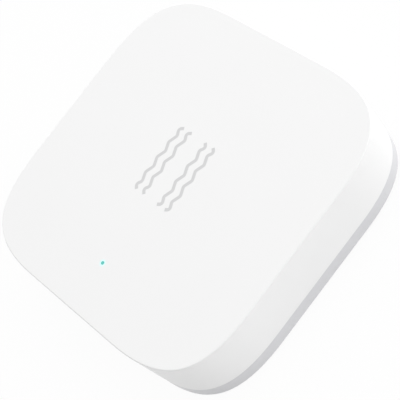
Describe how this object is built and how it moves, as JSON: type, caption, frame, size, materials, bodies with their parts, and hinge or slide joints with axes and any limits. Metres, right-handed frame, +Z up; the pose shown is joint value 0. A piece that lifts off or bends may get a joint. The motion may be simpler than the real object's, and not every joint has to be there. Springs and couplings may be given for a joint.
{
  "type": "vibration sensor tag",
  "caption": "Flat rounded-square wireless vibration sensor with a crisp crowned roof, wavy marks, a pinhole status light, a twist-off battery cover and an adhesive pad below.",
  "frame": {"origin": "under the middle of the tag, on the surface that the adhesive pad meets", "axes": "+Z up through the roof, the status light towards -Y, the wavy marks run along Y, the reset pinhole in the -X wall"},
  "size_m": [0.044, 0.044, 0.0116],
  "materials": {
    "white_shell": "fine matt moulded, nearly smooth",
    "mark_grey": "light grey filled marks, matt",
    "clear_pipe": "clear pipe lit blue-green from below",
    "grey_base": "fine matt moulded, cool light grey",
    "foam_pad": "closed-cell foam, tacky face",
    "dark_rubber": "soft matt",
    "cell_steel": "nickel-plated, drawn",
    "white_nylon": "translucent white",
    "dark_pellet": "pressed powder",
    "soft_lithium": "dull silvery metal",
    "spring_steel": "nickel-plated strip",
    "board_green": "solder mask over glass fibre",
    "screw_steel": "zinc-plated",
    "chip_black": "moulded resin",
    "crystal_lid": "plated lid",
    "tank_ochre": "moulded resin",
    "capacitor_tan": "fired, tinned ends",
    "resistor_black": "glazed, tinned ends",
    "coil_grey": "ferrite, tinned ends",
    "led_white": "clear lens on a white base",
    "gold_track": "gold-plated copper",
    "switch_black": "moulded",
    "plunger_white": "moulded"
  },
  "bodies": {
    "sensor_body": {"top_shell": "white_shell", "wave_marks": "mark_grey", "light_pipe": "clear_pipe", "base_tray": "grey_base", "adhesive_pad": "foam_pad", "cell_can": "cell_steel", "cell_seal": "white_nylon", "cell_cap": "cell_steel", "cathode_pellet": "dark_pellet", "lithium_disc": "soft_lithium", "positive_contact": "spring_steel", "negative_contact": "spring_steel", "main_board": "board_green", "board_screws": "screw_steel", "radio_chip": "chip_black", "memory_chip": "chip_black", "motion_chip": "chip_black", "main_crystal": "crystal_lid", "clock_crystal": "crystal_lid", "bulk_capacitor": "tank_ochre", "protection_transistor": "chip_black", "capacitors": "capacitor_tan", "resistors": "resistor_black", "inductors": "coil_grey", "status_led": "led_white", "antenna": "gold_track", "test_pads": "gold_track", "switch_body": "switch_black"},
    "twist_cover": {"battery_cover": "grey_base", "cover_gasket": "dark_rubber", "cell_cushion": "dark_rubber"},
    "reset_plunger": {"switch_plunger": "plunger_white"}
  },
  "joints": [
    {"name": "cover_twist", "type": "hinge", "parent": "sensor_body", "child": "twist_cover", "pos_m": [0, 0, 0.0005], "axis": [0, 0, -1], "range_deg": [0, 30]},
    {"name": "reset_press", "type": "slide", "parent": "sensor_body", "child": "reset_plunger", "axis": [1, 0, 0], "range_m": [0, 0.00025], "stiffness_N_per_m": 4000}
  ]
}
